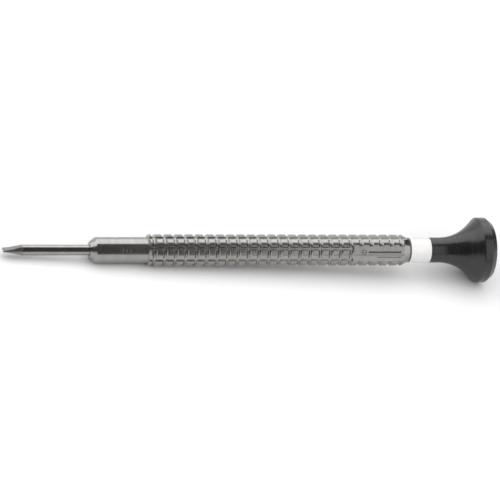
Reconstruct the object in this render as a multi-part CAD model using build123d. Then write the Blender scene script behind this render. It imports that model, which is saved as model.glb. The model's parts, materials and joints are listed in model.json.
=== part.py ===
"""Watchmaker's screwdriver: a clamped flat blade, a checkered steel handle and a free-spinning head on a
small ball bearing. Millimetres. The blade's edge is at the origin, +X runs to the head and +Z is up."""

from build123d import *

import math
import os

# Angles round the tool are elevations: 0 faces -Y, 90 faces +Z.

# Blade
blade_diameter = 2.0
blade_exposed = 16.1
blade_in_handle = 8.0
edge_thickness = 0.3
grind_length = 3.7
grind_hollow = 0.13
shank_end_chamfer = 0.2

# Nose of the handle
nose_length = 10.9
nose_diameter = 4.83
nose_front_diameter = 3.1
nose_front_chamfer = 1.1
bore_end_gap = 0.05

# Clamp screws in the nose
clamp_screw_diameter = 1.0
clamp_screw_setback = 4.9
clamp_screw_sunk = 0.15
clamp_screw_angle = 130.0
clamp_screw_spacing = 120.0
clamp_screw_count = 2
clamp_countersink = 0.12
clamp_slot_width = 0.2
clamp_slot_depth = 0.3

# Checkered grip
grip_diameter = 5.9
shoulder_chamfer = 0.35
first_pad = 1.06
last_pad = 0.55
groove_pitch = 2.0
groove_count = 25
groove_depth = 0.34
groove_floor = 0.22
slot_mouth = 0.8
slot_floor = 0.36
row_count = 8
grip_end_chamfer = 1.6
grip_end_drop = 0.78

# Smooth plate among the last pads
plate_angle = 22.5
plate_sector = 60.0
plate_grooves = 5
plate_margin = 0.45

# Colour ring on its spigot
colour_ring_diameter = 4.84
colour_ring_width = 4.0
colour_ring_overhang = 0.2
spigot_diameter = 3.4

# Pivot axle
axle_thread_diameter = 2.0
axle_thread_length = 9.8
axle_collar_diameter = 2.7
thread_end_gap = 0.2

# Thrust washer and neck bush
washer_diameter = 3.3
washer_thickness = 0.3
bush_diameter = 3.48
bush_length = 3.0

# Head
neck_diameter = 4.82
neck_straight = 2.03
flare_radius = 8.64
flare_angle = 45.0
head_diameter = 12.5
rim_width = 1.6
rim_rounding = 0.3
back_chamfer_length = 1.0
back_chamfer_drop = 0.75
cap_diameter = 9.6
cap_thickness = 1.5
cap_edge_chamfer = 0.12
cap_boss_wall = 0.6
cap_boss_length = 0.5

# Ball bearing
bearing_bore = 2.0
bearing_diameter = 6.0
bearing_width = 2.5
bearing_behind = 1.5
ball_diameter = 1.0
ball_count = 7
race_lip = 0.05
shield_thickness = 0.13
shield_inset = 0.05
shield_seat = 0.17
shield_clearance = 0.15
cage_clearance = 0.2
cage_front_offset = 0.05
cage_back_offset = 0.8
seat_relief = 0.3

# Retaining ring
retainer_thickness = 0.28
retainer_groove = 0.3
retainer_bite = 0.29
retainer_reach = 0.35
retainer_opening = 50.0

# Lock screw and its washer
lock_screw_diameter = 1.0
lock_screw_length = 2.4
lock_head_diameter = 1.9
lock_head_height = 0.55
lock_slot_width = 0.26
lock_slot_depth = 0.25
lock_washer_diameter = 2.9
lock_washer_thickness = 0.2
lock_hole_extra = 0.5

# Clearances
slip = 0.02
thread_play = 0.01
snug = 0.01
running = 0.03
end_play = 0.05
ball_play = 0.01
cage_play = 0.04
cut_over = 1.0

# Places along the tool
nose_front = blade_exposed
shank_end = blade_exposed + blade_in_handle
clamp_screw_x = nose_front + clamp_screw_setback
shoulder = nose_front + nose_length
last_groove = shoulder + first_pad + (groove_count - 1) * groove_pitch
grip_full_end = last_groove + last_pad
grip_end = grip_full_end + grip_end_chamfer
plate_start = last_groove - plate_grooves * groove_pitch + plate_margin
colour_ring_end = grip_end + colour_ring_width
spigot_end = colour_ring_end - colour_ring_overhang
head_front = colour_ring_end + end_play
neck_end = head_front + neck_straight
slope = math.radians(flare_angle)
flare_end = neck_end + flare_radius * math.sin(slope)
flare_end_radius = neck_diameter / 2 + flare_radius * (1 - math.cos(slope))
rim_start = flare_end + (head_diameter / 2 - flare_end_radius) / math.tan(slope)
rim_end = rim_start + rim_width
back_face = rim_end + back_chamfer_length
cap_seat = back_face - cap_thickness
bearing_back = cap_seat - bearing_behind
bearing_front = bearing_back - bearing_width
bearing_middle = (bearing_front + bearing_back) / 2
ball_circle = (bearing_bore + bearing_diameter) / 2
inner_race_diameter = ball_circle - ball_diameter + 2 * race_lip
outer_race_bore = ball_circle + ball_diameter - 2 * race_lip
lock_washer_back = bearing_back + lock_washer_thickness


def turned(*outline):
    """A solid turned about the tool's axis from (along, radius) points."""
    return revolve(make_face(Polyline(*outline, close=True)), axis=Axis.X)


def drum(start, end, diameter):
    """A plain cylinder along the tool's axis."""
    return Pos(X=(start + end) / 2) * Cylinder(diameter / 2, end - start, rotation=(0, 90, 0))


def tube(start, end, outer, inner):
    return drum(start, end, outer) - drum(start - cut_over, end + cut_over, inner)


def facing(angle, shape):
    """Turns a shape that was made facing -Y to face this elevation."""
    return Rot(X=-angle) * shape


def radial(angle, along, diameter, near, far):
    """A cylinder that stands out from the tool's axis, from one radius to another."""
    pin = Cylinder(diameter / 2, far - near, rotation=(90, 0, 0))
    return facing(angle, Pos(X=along, Y=-(near + far) / 2) * pin)


def make_blade():
    radius = blade_diameter / 2
    shank = turned(
        (0, 0),
        (0, radius),
        (shank_end - shank_end_chamfer, radius),
        (shank_end, radius - shank_end_chamfer),
        (shank_end, 0),
    )
    # Each face is ground a little hollow from the full shank to the edge, which lies across the plate.
    low, high = (0, edge_thickness / 2), (grind_length, radius)
    middle = (grind_length / 2 + grind_hollow, (low[1] + high[1]) / 2 - grind_hollow)
    outline = ThreePointArc(low, middle, high) + Polyline(
        high, (grind_length, 2 * radius), (-cut_over, 2 * radius), (-cut_over, low[1]), low
    )
    stone = extrude(make_face(outline), amount=blade_diameter, both=True)
    upper = Rot(X=90) * stone
    return shank - facing(plate_angle, upper) - facing(plate_angle + 180, upper)


def clamp_angles():
    return [clamp_screw_angle + number * clamp_screw_spacing for number in range(clamp_screw_count)]


def clamp_hole(angle):
    surface = nose_diameter / 2
    hole = radial(angle, clamp_screw_x, clamp_screw_diameter + 2 * thread_play, 0, surface + cut_over)
    sink = Cone(
        clamp_screw_diameter / 2,
        clamp_screw_diameter / 2 + clamp_countersink + cut_over,
        clamp_countersink + cut_over,
        rotation=(90, 0, 0),
    )
    place = Pos(X=clamp_screw_x, Y=-(surface + (cut_over - clamp_countersink) / 2))
    return hole + facing(angle, place * sink)


def groove_outline(along, radius):
    """The section of a checkering groove with 45-degree flanks, cut just past the surface."""
    half = groove_floor / 2
    wide = half + groove_depth + slip
    points = [
        (along - half, radius - groove_depth),
        (along + half, radius - groove_depth),
        (along + wide, radius + slip),
        (along - wide, radius + slip),
    ]
    return make_face(Polyline(*points, close=True))


def ring_groove(number):
    """A groove round the grip. The last few stop at the plate's two sides."""
    outline = groove_outline(shoulder + first_pad + number * groove_pitch, grip_diameter / 2)
    if number < groove_count - plate_grooves:
        return revolve(outline, axis=Axis.X)
    part_turn = revolve(outline, axis=Axis.X, revolution_arc=360 - plate_sector)
    return Rot(X=180 - plate_angle + plate_sector / 2) * part_turn


def long_slot(number):
    """A groove along the grip. The two beside the plate stop in front of it."""
    from_plate = (number + 0.5) * 360 / row_count
    beside = min(from_plate, 360 - from_plate) < plate_sector / 2
    start, end = shoulder - cut_over, plate_start if beside else grip_end + cut_over
    radius = grip_diameter / 2
    steep = (slot_mouth - slot_floor) / 2 / groove_depth
    low, high = radius - groove_depth, radius + groove_depth
    wide = slot_floor / 2 + 2 * steep * groove_depth
    section = Plane.YZ * make_face(
        Polyline(
            (-low, -slot_floor / 2), (-low, slot_floor / 2), (-high, wide), (-high, -wide), close=True
        )
    )
    return facing(plate_angle + from_plate, Pos(X=start) * extrude(section, amount=end - start))


def make_handle_body():
    nose, grip, spigot = nose_diameter / 2, grip_diameter / 2, spigot_diameter / 2
    body = turned(
        (nose_front, 0),
        (nose_front, nose_front_diameter / 2),
        (nose_front + nose_front_chamfer, nose),
        (shoulder, nose),
        (shoulder, grip - shoulder_chamfer),
        (shoulder + shoulder_chamfer, grip),
        (grip_full_end, grip),
        (grip_end, grip - grip_end_drop),
        (grip_end, spigot),
        (spigot_end, spigot),
        (spigot_end, 0),
    )
    body -= [ring_groove(number) for number in range(groove_count)]
    body -= [long_slot(number) for number in range(row_count)]
    body -= drum(nose_front - cut_over, shank_end + bore_end_gap, blade_diameter + 2 * slip)
    body -= [clamp_hole(angle) for angle in clamp_angles()]
    thread_end = spigot_end - axle_thread_length - thread_end_gap
    return body - drum(thread_end, spigot_end + cut_over, axle_thread_diameter + 2 * thread_play)


def make_clamp_screw(angle):
    """A slotted grub screw with its tip just off the blade."""
    tip = blade_diameter / 2 + slip
    top = nose_diameter / 2 - clamp_screw_sunk
    screw = radial(angle, clamp_screw_x, clamp_screw_diameter, tip, top)
    groove = Box(2 * clamp_screw_diameter, clamp_slot_depth, clamp_slot_width)
    return screw - facing(angle, Pos(X=clamp_screw_x, Y=-(top - clamp_slot_depth / 2)) * groove)


def make_colour_ring():
    return tube(grip_end, colour_ring_end, colour_ring_diameter, spigot_diameter + 2 * snug)


def make_pivot_axle():
    """Screwed into the handle up to its collar, with the bearing seat and a tapped end behind."""
    axle = drum(spigot_end - axle_thread_length, spigot_end, axle_thread_diameter)
    axle += drum(spigot_end, bearing_front, axle_collar_diameter)
    seat_end = bearing_back - end_play
    axle += drum(bearing_front, seat_end, bearing_bore - 2 * snug)
    hole_start = lock_washer_back - lock_screw_length - lock_hole_extra
    return axle - drum(hole_start, seat_end + cut_over, lock_screw_diameter + 2 * thread_play)


def make_thrust_washer():
    bore = axle_collar_diameter + 2 * slip
    return tube(spigot_end, spigot_end + washer_thickness, washer_diameter, bore)


def bush_start():
    return spigot_end + washer_thickness + end_play


def make_neck_bush():
    bore = axle_collar_diameter + 2 * running
    return tube(bush_start(), bush_start() + bush_length, bush_diameter, bore)


def make_head_shell():
    """The trumpet-shaped shell, bored from both ends for the bush, the bearing and the cap."""
    neck, rim = neck_diameter / 2, head_diameter / 2
    outline = Polyline(
        (neck_end, neck), (head_front, neck), (head_front, 0), (back_face, 0),
        (back_face, rim - back_chamfer_drop), (rim_end, rim), (rim_start, rim),
        (flare_end, flare_end_radius),
    ) + RadiusArc((neck_end, neck), (flare_end, flare_end_radius), -flare_radius)
    shell = revolve(make_face(outline), axis=Axis.X)
    edge = shell.edges().filter_by(GeomType.CIRCLE).filter_by(
        lambda e: abs(e.radius - rim) < snug and abs(e.center().X - rim_start) < snug
    )
    shell = fillet(edge, rim_rounding)

    seat = bearing_diameter + 2 * snug
    shell -= drum(head_front - cut_over, bush_start() + bush_length, bush_diameter + 2 * snug)
    shell -= drum(head_front, bearing_front, axle_collar_diameter + 2 * end_play)
    shell -= drum(bearing_front - seat_relief, bearing_front, outer_race_bore)
    shell -= drum(bearing_front, cap_seat + slip, seat)
    groove_diameter = seat + 2 * retainer_bite + 2 * slip
    shell -= drum(bearing_back, bearing_back + retainer_groove, groove_diameter)
    return shell - drum(cap_seat, back_face + cut_over, cap_diameter + 2 * snug)


def make_head_cap():
    """The disc under the fingertip, with a ring boss that centres it in the bearing's bore."""
    radius = cap_diameter / 2
    disc = turned(
        (cap_seat, 0),
        (cap_seat, radius),
        (back_face - cap_edge_chamfer, radius),
        (back_face, radius - cap_edge_chamfer),
        (back_face, 0),
    )
    boss = bearing_diameter - 2 * slip
    return disc + tube(cap_seat - cap_boss_length, cap_seat, boss, boss - 2 * cap_boss_wall)


def ball_track():
    """The ring that the balls run in, a little larger than they are."""
    around = Pos(bearing_middle, ball_circle / 2) * Circle(ball_diameter / 2 + ball_play)
    return revolve(around, axis=Axis.X)


def ball_place(number):
    return Rot(X=number * 360 / ball_count) * Pos(bearing_middle, -ball_circle / 2, 0)


def make_inner_race():
    return tube(bearing_front, bearing_back, inner_race_diameter, bearing_bore) - ball_track()


def shield_start(front):
    if front:
        return bearing_front + shield_inset
    return bearing_back - shield_inset - shield_thickness


def make_outer_race():
    race = tube(bearing_front, bearing_back, bearing_diameter, outer_race_bore) - ball_track()
    depth = shield_inset + shield_thickness
    seat = outer_race_bore + 2 * shield_seat
    race -= drum(bearing_front - cut_over, bearing_front + depth, seat)
    return race - drum(bearing_back - depth, bearing_back + cut_over, seat)


def make_shield(front):
    start = shield_start(front)
    outer = outer_race_bore + 2 * shield_seat - 2 * snug
    bore = inner_race_diameter + 2 * shield_clearance
    return tube(start, start + shield_thickness, outer, bore)


def make_ball(number):
    return ball_place(number) * Sphere(ball_diameter / 2)


def make_cage():
    """A crown cage: one ring behind the balls with open pockets round them."""
    ring = tube(
        bearing_middle + cage_front_offset,
        bearing_middle + cage_back_offset,
        outer_race_bore - 2 * cage_clearance,
        inner_race_diameter + 2 * cage_clearance,
    )
    pocket = Sphere(ball_diameter / 2 + cage_play)
    return ring - [ball_place(number) * pocket for number in range(ball_count)]


def make_retaining_ring():
    """An open spring ring in the groove behind the outer race."""
    outer = bearing_diameter + 2 * retainer_bite
    start = bearing_back + (retainer_groove - retainer_thickness) / 2
    ring = tube(start, start + retainer_thickness, outer, bearing_diameter - 2 * retainer_reach)
    half = math.radians(retainer_opening / 2)
    reach = 2 * outer
    wedge = make_face(
        Polyline((0, 0), (-reach, -reach * math.tan(half)), (-reach, reach * math.tan(half)), close=True)
    )
    return ring - Pos(X=start - cut_over) * extrude(Plane.YZ * wedge, amount=3 * cut_over)


def make_lock_washer():
    bore = lock_screw_diameter + 2 * slip
    return tube(bearing_back, lock_washer_back, lock_washer_diameter, bore)


def make_lock_screw():
    screw = drum(lock_washer_back - lock_screw_length, lock_washer_back, lock_screw_diameter)
    top = lock_washer_back + lock_head_height
    screw += drum(lock_washer_back, top, lock_head_diameter)
    groove = Box(lock_slot_depth, 2 * lock_head_diameter, lock_slot_width)
    return screw - Pos(X=top - lock_slot_depth / 2) * groove


pieces = {
    "blade": make_blade(),
    "handle_body": make_handle_body(),
    "colour_ring": make_colour_ring(),
    "pivot_axle": make_pivot_axle(),
    "thrust_washer": make_thrust_washer(),
    "neck_bush": make_neck_bush(),
    "bearing_inner_race": make_inner_race(),
    "bearing_outer_race": make_outer_race(),
    "bearing_cage": make_cage(),
    "bearing_front_shield": make_shield(front=True),
    "bearing_rear_shield": make_shield(front=False),
    "retaining_ring": make_retaining_ring(),
    "lock_washer": make_lock_washer(),
    "lock_screw": make_lock_screw(),
    "head_shell": make_head_shell(),
    "head_cap": make_head_cap(),
}
for number, angle in enumerate(clamp_angles(), start=1):
    pieces[f"clamp_screw_{number}"] = make_clamp_screw(angle)
for number in range(ball_count):
    pieces[f"bearing_ball_{number + 1}"] = make_ball(number)

os.makedirs("parts", exist_ok=True)
for name, piece in pieces.items():
    export_step(piece, f"parts/{name}.step")
    print(f"{name}: {piece.volume:.3f} mm3")
print(f"length {back_face:.2f} mm, clamp screws at {clamp_screw_x:.2f}, shoulder at {shoulder:.2f}")
print(f"bearing {bearing_front:.2f} to {bearing_back:.2f}, cap seat {cap_seat:.2f}, rim {rim_start:.2f}")
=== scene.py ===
"""Looks for the watchmaker's screwdriver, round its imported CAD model. Metres, in the CAD model's frame."""

import json
import math

import bmesh
import bpy
from mathutils import Matrix, Vector


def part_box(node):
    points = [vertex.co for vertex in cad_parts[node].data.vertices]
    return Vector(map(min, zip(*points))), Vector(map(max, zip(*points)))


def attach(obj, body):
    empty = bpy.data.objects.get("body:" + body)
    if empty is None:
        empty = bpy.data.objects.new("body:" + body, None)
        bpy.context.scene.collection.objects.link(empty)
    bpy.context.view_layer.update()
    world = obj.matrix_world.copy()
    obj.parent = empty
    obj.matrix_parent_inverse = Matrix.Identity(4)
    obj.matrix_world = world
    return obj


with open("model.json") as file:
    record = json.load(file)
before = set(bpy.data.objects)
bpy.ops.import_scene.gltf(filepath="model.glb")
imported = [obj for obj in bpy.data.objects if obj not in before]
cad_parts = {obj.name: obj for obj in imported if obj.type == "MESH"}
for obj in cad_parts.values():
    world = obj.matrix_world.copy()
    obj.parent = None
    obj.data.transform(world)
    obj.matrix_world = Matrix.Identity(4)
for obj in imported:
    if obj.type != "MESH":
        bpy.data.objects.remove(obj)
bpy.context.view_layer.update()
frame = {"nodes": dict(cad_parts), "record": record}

nodes = frame["nodes"]
MM = 0.001
MICRON = 0.000001

# Places: the rim's radius read from the imported model, the rest given as numbers
rim_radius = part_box("head_shell")[1].z
grip_radius = 2.95 * MM
nose_radius = 2.415 * MM
shoulder = 27.35 * MM
rim_rest = 91.87 * MM
plate_angle = 22.5
wedge_end = 3.7 * MM

# The camera: from the blade's side, a little above, with a long lens
view_yaw = 15.0
view_height = 39.8
view_distance = 0.4997
view_centre = 46.95 * MM
view_lens = 191.4

# Lights: brightness, and the card that fills the right half of the tool from the camera's side
overhead_light = 2.0
back_light = 1.0
right_light = 1.3
wash_light = 1.55
room_light = 0.08
fill_light = 1.0
fill_start = 0.165
fill_width = 0.3
fill_height = 40.0
fill_distance = 0.4

# Floor
floor_half = 1.2

# The plain marks in the place of lettering. Places along the tool and across the plate are in millimetres.
mark_proud = 0.003 * MM
mark_depth = 0.03 * MM
mark_step = 0.1
symbol_centre = (68.55, 0.45)
symbol_radii = (0.4, 0.52)
symbol_slot = (68.2, 68.9, 0.39, 0.51)
plate_bar = (69.4, 75.9, 0.27, 0.63)
plate_rule = (71.2, 75.9, -0.62, -0.46)
size_bar = (21.9, 22.25, -0.35, 0.35)
size_bar_count = 3
size_bar_pitch = 0.7
size_bar_turn = 12


def around(angle):
    """The direction across the tool at this elevation: 0 faces -Y and 90 faces +Z."""
    a = math.radians(angle)
    return Vector((0, -math.cos(a), math.sin(a)))


# Camera, lights and floor

def add_camera():
    yaw = math.radians(view_yaw)
    back = around(view_height) * math.cos(yaw) - Vector((1, 0, 0)) * math.sin(yaw)
    up = around(view_height + 90)
    right = up.cross(back)
    turn = Matrix((right, up, back)).transposed().to_4x4()
    camera = bpy.data.objects.new("camera", bpy.data.cameras.new("camera"))
    bpy.context.scene.collection.objects.link(camera)
    camera.matrix_world = Matrix.Translation(Vector((view_centre, 0, 0)) + back * view_distance) @ turn
    camera.data.lens = view_lens
    camera.data.sensor_width = 36
    camera.data.clip_start = 0.01
    bpy.context.scene.camera = camera


def softbox(name, place, target, width, height, radiance, reflected=True):
    """A rectangular light. Its width runs as nearly as it can along the tool's axis.
    One that is reflected shapes the gloss, and one that isn't lights the pale surfaces evenly."""
    light = bpy.data.lights.new(name, "AREA")
    light.shape = "RECTANGLE"
    light.size, light.size_y = width, height
    light.energy = radiance * math.pi * width * height
    lamp = bpy.data.objects.new(name, light)
    bpy.context.scene.collection.objects.link(lamp)
    back = (Vector(place) - Vector(target)).normalized()
    across = (Vector((1, 0, 0)) - back * back.x).normalized()
    turn = Matrix((across, back.cross(across), back)).transposed().to_4x4()
    lamp.matrix_world = Matrix.Translation(Vector(place)) @ turn
    lamp.visible_glossy = reflected
    lamp.visible_diffuse = not reflected


def add_lights():
    softbox("overhead", (-0.1, 0.5, 0.45), (-0.1, 0.5, 0), 1.6, 0.9, overhead_light)
    softbox("back_card", (-0.1, 0.98, 0.22), (-0.1, 0, 0.22), 1.6, 0.4, back_light)
    card = Vector((fill_start + fill_width / 2, 0, 0)) + around(fill_height) * fill_distance
    softbox("fill", card, card - around(fill_height), fill_width, 0.6, fill_light)
    softbox("right_card", (0.78, -0.2, 0.2), (0.08, 0, 0), 0.6, 0.6, right_light)
    softbox("wash", (0.05, -0.25, 0.9), (0.05, -0.1, 0), 2.6, 2.6, wash_light, reflected=False)


def add_world():
    world = bpy.data.worlds.new("room")
    bpy.context.scene.world = world
    world.use_nodes = True
    background = world.node_tree.nodes["Background"]
    background.inputs["Color"].default_value = (1, 1, 1, 1)
    background.inputs["Strength"].default_value = room_light


# Materials

class Paint:
    """A material's node tree, with short calls for the nodes that every finish here uses."""

    def __init__(self, name, metal=0.0):
        self.material = bpy.data.materials.new(name)
        self.material.use_nodes = True
        self.tree = self.material.node_tree
        self.shader = self.tree.nodes["Principled BSDF"]
        self.shader.inputs["Metallic"].default_value = metal
        self.place = self.add("ShaderNodeTexCoord").outputs["Object"]

    def add(self, kind, **settings):
        node = self.tree.nodes.new(kind)
        for key, value in settings.items():
            setattr(node, key, value)
        return node

    def put(self, socket, value):
        if isinstance(value, bpy.types.NodeSocket):
            self.tree.links.new(value, socket)
        else:
            socket.default_value = value

    def math(self, operation, *values):
        node = self.add("ShaderNodeMath", operation=operation)
        for socket, value in zip(node.inputs, values):
            self.put(socket, value)
        return node.outputs[0]

    def spread(self, value, low, high, start=0.3, end=0.7):
        """Stretches a value from start..end to low..high."""
        node = self.add("ShaderNodeMapRange")
        keys = ("Value", "From Min", "From Max", "To Min", "To Max")
        for key, number in zip(keys, (value, start, end, low, high)):
            self.put(node.inputs[key], number)
        return node.outputs["Result"]

    def noise(self, scale, detail=3.0, vector=None):
        node = self.add("ShaderNodeTexNoise")
        self.put(node.inputs["Vector"], vector or self.place)
        self.put(node.inputs["Scale"], scale)
        self.put(node.inputs["Detail"], detail)
        return node.outputs["Fac"]

    def mix(self, share, first, second):
        node = self.add("ShaderNodeMix", data_type="RGBA")
        self.put(node.inputs["Factor"], share)
        self.put(node.inputs[6], first)
        self.put(node.inputs[7], second)
        return node.outputs[2]

    def rings(self, across, along=0.06):
        """Coordinates that change fast along the axis and outwards, and slowly round the tool."""
        parts = self.add("ShaderNodeSeparateXYZ")
        self.put(parts.inputs[0], self.place)
        x, y, z = parts.outputs
        radius = self.math("SQRT", self.math("ADD", self.math("MULTIPLY", y, y), self.math("MULTIPLY", z, z)))
        outward = self.math("MULTIPLY", radius, across)
        joined = self.add("ShaderNodeCombineXYZ")
        self.put(joined.inputs[0], self.math("MULTIPLY", x, across))
        self.put(joined.inputs[1], self.math("ADD", outward, self.math("MULTIPLY", z, across * along)))
        self.put(joined.inputs[2], self.math("MULTIPLY", y, across * along))
        return joined.outputs[0]

    def along_axis(self):
        parts = self.add("ShaderNodeSeparateXYZ")
        self.put(parts.inputs[0], self.place)
        return parts.outputs[0]

    def soft_edge(self, radius):
        """The normal with every edge broken by this radius, and how near an edge the point is."""
        bevel = self.add("ShaderNodeBevel", samples=6)
        bevel.inputs["Radius"].default_value = radius
        flat = self.add("ShaderNodeNewGeometry").outputs["Normal"]
        likeness = self.add("ShaderNodeVectorMath", operation="DOT_PRODUCT")
        self.put(likeness.inputs[0], bevel.outputs[0])
        self.put(likeness.inputs[1], flat)
        return bevel.outputs[0], self.spread(likeness.outputs["Value"], 1.0, 0.0, 0.9, 0.995)

    def hollow(self, distance):
        """1 deep in a groove or gap and 0 in the open, from ambient occlusion; the colours mixed by it paint
        shade into the hollows.
        """
        node = self.add("ShaderNodeAmbientOcclusion", samples=6, only_local=False)
        node.inputs["Distance"].default_value = distance
        return self.spread(node.outputs["AO"], 1.0, 0.0, 0.35, 0.9)

    def finish(self, color, roughness, height, depth, normal=None):
        bump = self.add("ShaderNodeBump")
        self.put(bump.inputs["Height"], height)
        self.put(bump.inputs["Distance"], depth)
        if normal:
            self.put(bump.inputs["Normal"], normal)
        self.put(self.shader.inputs["Base Color"], color)
        self.put(self.shader.inputs["Roughness"], roughness)
        self.put(self.shader.inputs["Normal"], bump.outputs["Normal"])
        return self.material


def gray(value, warm=0.0):
    return (value * (1 + warm), value, value * (1 - warm), 1)


def turned_steel():
    """Bright turned steel: fine rings, painted shade that darkens the checkering's hollows in blotches, a
    mask that also makes the hollows rougher, and bright worn edges.
    """
    p = Paint("turned_steel", metal=1.0)
    fine = p.noise(1.0, 4.0, p.rings(9000))
    broad = p.noise(1.0, 2.0, p.rings(900, 0.3))
    cloud = p.noise(420.0)
    normal, edge = p.soft_edge(0.09 * MM)
    # Mask from ambient occlusion, broken up by a cloud: it paints shade into the hollows' colour and also
    # raises their roughness.
    shade_and_grime = p.math("MULTIPLY", p.hollow(0.5 * MM), p.spread(cloud, 0.25, 0.75))
    color = p.mix(p.spread(broad, 0.0, 1.0), gray(0.33, 0.03), gray(0.29, 0.03))
    # Painted shade: the colour darkens towards a warm dark grey where the occlusion finds the checkering's
    # hollows.
    color = p.mix(p.math("MULTIPLY", shade_and_grime, 0.8), color, gray(0.12, 0.12))
    color = p.mix(p.math("MULTIPLY", edge, 0.6), color, gray(0.38, 0.03))
    rough = p.math("ADD", p.spread(fine, 0.15, 0.25), p.math("MULTIPLY", shade_and_grime, 0.2))
    p.shader.inputs["Anisotropic"].default_value = 0.35
    tangent = p.add("ShaderNodeTangent", direction_type="RADIAL", axis="X")
    p.put(p.shader.inputs["Tangent"], tangent.outputs[0])
    return p.finish(color, rough, fine, 1.2 * MICRON, normal)


def blade_steel():
    """Hardened steel, polished round the shank and ground across the two flats."""
    p = Paint("blade_steel", metal=1.0)
    fine = p.noise(1.0, 4.0, p.rings(14000, 0.02))
    cloud = p.noise(700.0)
    normal, edge = p.soft_edge(0.05 * MM)
    ground = p.spread(p.along_axis(), 1.0, 0.0, wedge_end * 0.96, wedge_end * 1.02)
    color = p.mix(p.spread(cloud, 0.0, 1.0), gray(0.32, 0.035), gray(0.28, 0.04))
    color = p.mix(p.math("MULTIPLY", ground, p.spread(fine, 0.2, 0.8)), color, gray(0.19, 0.03))
    color = p.mix(p.math("MULTIPLY", edge, 0.7), color, gray(0.4, 0.02))
    rough = p.math("ADD", p.spread(fine, 0.13, 0.22), p.math("MULTIPLY", ground, 0.14))
    depth = p.spread(ground, 0.6 * MICRON, 3.5 * MICRON, 0.0, 1.0)
    return p.finish(color, rough, fine, depth, normal)


def dark_steel():
    """Small hardened screws with a dark oxide skin that is worn bright on the edges."""
    p = Paint("dark_steel", metal=1.0)
    cloud = p.noise(2600.0, 4.0)
    fine = p.noise(14000.0, 2.0)
    normal, edge = p.soft_edge(0.03 * MM)
    color = p.mix(p.spread(cloud, 0.0, 1.0), gray(0.13, 0.02), gray(0.2, -0.02))
    color = p.mix(edge, color, gray(0.4, 0.02))
    return p.finish(color, p.spread(fine, 0.25, 0.4), fine, 1.5 * MICRON, normal)


def bearing_steel():
    """Polished races, balls and axle with fine lapping marks."""
    p = Paint("bearing_steel", metal=1.0)
    fine = p.noise(1.0, 4.0, p.rings(16000))
    cloud = p.noise(900.0)
    normal, edge = p.soft_edge(0.03 * MM)
    color = p.mix(p.spread(cloud, 0.0, 1.0), gray(0.56), gray(0.48, 0.03))
    color = p.mix(edge, color, gray(0.66))
    return p.finish(color, p.spread(fine, 0.07, 0.16), fine, 0.6 * MICRON, normal)


def bronze():
    """Sintered bronze: pores, dull patches and rubbed edges."""
    p = Paint("sintered_bronze", metal=1.0)
    pores = p.noise(9000.0, 5.0)
    cloud = p.noise(1300.0)
    normal, edge = p.soft_edge(0.03 * MM)
    color = p.mix(p.spread(cloud, 0.0, 1.0), (0.45, 0.27, 0.11, 1), (0.33, 0.2, 0.09, 1))
    color = p.mix(p.spread(pores, 0.5, 0.0, 0.3, 0.45), color, (0.1, 0.06, 0.03, 1))
    color = p.mix(edge, color, (0.6, 0.4, 0.19, 1))
    return p.finish(color, p.spread(cloud, 0.32, 0.48), pores, 4 * MICRON, normal)


def white_plastic():
    """Glossy white plastic with faint mould flow, tiny scuffs and painted shade that darkens it in the gaps
    beside it.
    """
    p = Paint("white_plastic")
    flow = p.noise(1.0, 3.0, p.rings(1500, 0.4))
    scuff = p.noise(5200.0, 5.0)
    normal, edge = p.soft_edge(0.07 * MM)
    color = p.mix(p.spread(flow, 0.0, 1.0), (0.83, 0.815, 0.8, 1), (0.79, 0.775, 0.76, 1))
    # Painted shade: the colour darkens towards a brownish grey where the ambient occlusion finds the gaps
    # beside the ring.
    color = p.mix(p.math("MULTIPLY", p.hollow(0.4 * MM), 0.35), color, (0.45, 0.42, 0.38, 1))
    rough = p.math("ADD", p.spread(scuff, 0.2, 0.32), p.math("MULTIPLY", edge, 0.1))
    p.shader.inputs["Subsurface Weight"].default_value = 0.12
    p.shader.inputs["Subsurface Radius"].default_value = (1, 0.9, 0.8)
    p.shader.inputs["Subsurface Scale"].default_value = 0.4 * MM
    return p.finish(color, rough, scuff, 1.5 * MICRON, normal)


def black_plastic():
    """Satin black plastic with the rings that turning left, scuffs and a rubbed rim."""
    p = Paint("black_plastic")
    tool = p.noise(1.0, 3.0, p.rings(5200, 0.02))
    broad = p.noise(1.0, 2.0, p.rings(1300, 0.05))
    scuff = p.noise(3300.0, 5.0)
    normal, edge = p.soft_edge(0.12 * MM)
    color = p.mix(p.spread(broad, 0.0, 1.0), gray(0.006), gray(0.012, 0.03))
    color = p.mix(p.spread(scuff, 0.0, 0.35, 0.62, 0.75), color, gray(0.05, 0.03))
    color = p.mix(p.math("MULTIPLY", edge, 0.45), color, gray(0.06, 0.02))
    rough = p.math("ADD", p.spread(tool, 0.17, 0.27), p.spread(scuff, 0.0, 0.06))
    p.shader.inputs["Specular IOR Level"].default_value = 0.6
    return p.finish(color, rough, tool, 3 * MICRON, normal)


def etched_fill():
    """The dark fill of the etched marks, slightly uneven."""
    p = Paint("etched_fill", metal=0.3)
    speck = p.noise(9000.0, 4.0)
    cloud = p.noise(1500.0)
    color = p.mix(p.spread(cloud, 0.0, 1.0), gray(0.05, 0.03), gray(0.085, 0.03))
    return p.finish(color, p.spread(speck, 0.4, 0.6), speck, 2 * MICRON)


def floor_paper():
    """Pale paper with a very faint tooth."""
    p = Paint("floor_paper")
    tooth = p.noise(2500.0, 3.0)
    color = p.mix(p.spread(p.noise(9.0), 0.0, 1.0), gray(0.9), gray(0.89))
    return p.finish(color, p.spread(tooth, 0.85, 0.95), tooth, 8 * MICRON)


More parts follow.
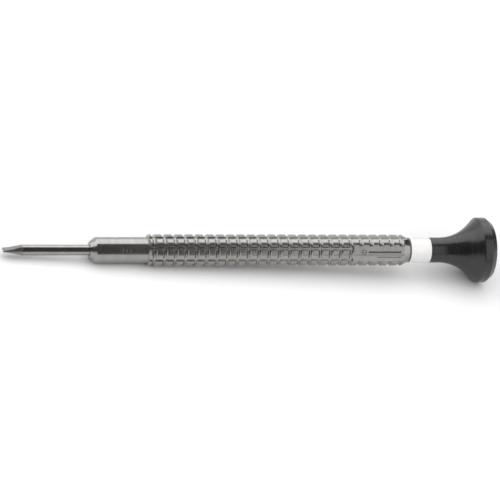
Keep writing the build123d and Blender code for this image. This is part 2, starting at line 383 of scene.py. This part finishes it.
def dress_nodes():
    """Gives every CAD node the finish of its slot in the record."""
    finishes = {
        "blade_steel": blade_steel(),
        "handle_steel": turned_steel(),
        "screw_steel": dark_steel(),
        "ring_plastic": white_plastic(),
        "head_plastic": black_plastic(),
        "bearing_steel": bearing_steel(),
        "bronze": bronze(),
    }
    slots = {part["node"]: part["material_slot"] for part in frame["record"]["subparts"]}
    for name, node in nodes.items():
        node.data.materials.clear()
        node.data.materials.append(finishes[slots[name]])
        for face in node.data.polygons:
            face.material_index = 0


def add_floor():
    """A pale floor on which the tool lies on its rim and its shoulder, so it leans a little."""
    lean = math.atan2(rim_radius - grip_radius, rim_rest - shoulder)
    mesh = bpy.data.meshes.new("floor")
    floor = bpy.data.objects.new("floor", mesh)
    bpy.context.scene.collection.objects.link(floor)
    bm = bmesh.new()
    bmesh.ops.create_grid(bm, x_segments=2, y_segments=2, size=floor_half)
    bm.to_mesh(mesh)
    bm.free()
    floor.matrix_world = Matrix.Translation((shoulder, 0, -grip_radius)) @ Matrix.Rotation(lean, 4, "Y")
    mesh.materials.append(floor_paper())


# Marks. A cell is four corners, each (along the axis, round the surface) in millimetres.

def bar(start, end, low, high):
    steps = max(2, round((high - low) / mark_step))
    heights = [low + (high - low) * i / steps for i in range(steps + 1)]
    return [((start, a), (end, a), (end, b), (start, b)) for a, b in zip(heights, heights[1:])]


def circle(along, up, inner, outer, count=36):
    def point(i, radius):
        turn = 2 * math.pi * (i % count) / count
        return (along + radius * math.cos(turn), up + radius * math.sin(turn))
    return [(point(i, inner), point(i, outer), point(i + 1, outer), point(i + 1, inner))
            for i in range(count)]


def add_mark(name, cells, radius, angle, material):
    """A thin closed inlay that follows the round surface, flush with it."""
    bm = bmesh.new()
    made = {}

    def vertex(point, distance):
        key = (round(point[0], 5), round(point[1], 5), distance)
        if key not in made:
            turn = angle + math.degrees(point[1] * MM / radius)
            made[key] = bm.verts.new(Vector((point[0] * MM, 0, 0)) + around(turn) * distance)
        return made[key]

    top, bottom = radius + mark_proud, radius - mark_depth
    edges = {}
    for cell in cells:
        bm.faces.new([vertex(point, top) for point in cell])
        bm.faces.new([vertex(point, bottom) for point in reversed(cell)])
        for a, b in zip(cell, cell[1:] + cell[:1]):
            key = frozenset((round(p[0], 5), round(p[1], 5)) for p in (a, b))
            edges.setdefault(key, []).append((a, b))
    for sides in edges.values():
        if len(sides) == 1:
            a, b = sides[0]
            bm.faces.new([vertex(a, bottom), vertex(b, bottom), vertex(b, top), vertex(a, top)])
    bmesh.ops.recalc_face_normals(bm, faces=bm.faces)
    mesh = bpy.data.meshes.new(name)
    bm.to_mesh(mesh)
    bm.free()
    mesh.materials.append(material)
    mark = bpy.data.objects.new(name, mesh)
    bpy.context.scene.collection.objects.link(mark)
    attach(mark, "handle")


def add_marks():
    """A slotted screw head, a bar and a rule on the plate, and three size bars on the nose."""
    fill = etched_fill()
    symbol = circle(*symbol_centre, *symbol_radii) + bar(*symbol_slot)
    add_mark("plate_symbol", symbol, grip_radius, plate_angle, fill)
    add_mark("plate_bar", bar(*plate_bar), grip_radius, plate_angle, fill)
    add_mark("plate_rule", bar(*plate_rule), grip_radius, plate_angle, fill)
    start, end, low, high = size_bar
    steps = [i * size_bar_pitch for i in range(size_bar_count)]
    sizes = [cell for step in steps for cell in bar(start + step, end + step, low, high)]
    add_mark("nose_size_bars", sizes, nose_radius, plate_angle + size_bar_turn, fill)


add_camera()
add_lights()
add_world()
add_floor()
dress_nodes()
add_marks()
bpy.context.scene.view_settings.view_transform = "Standard"
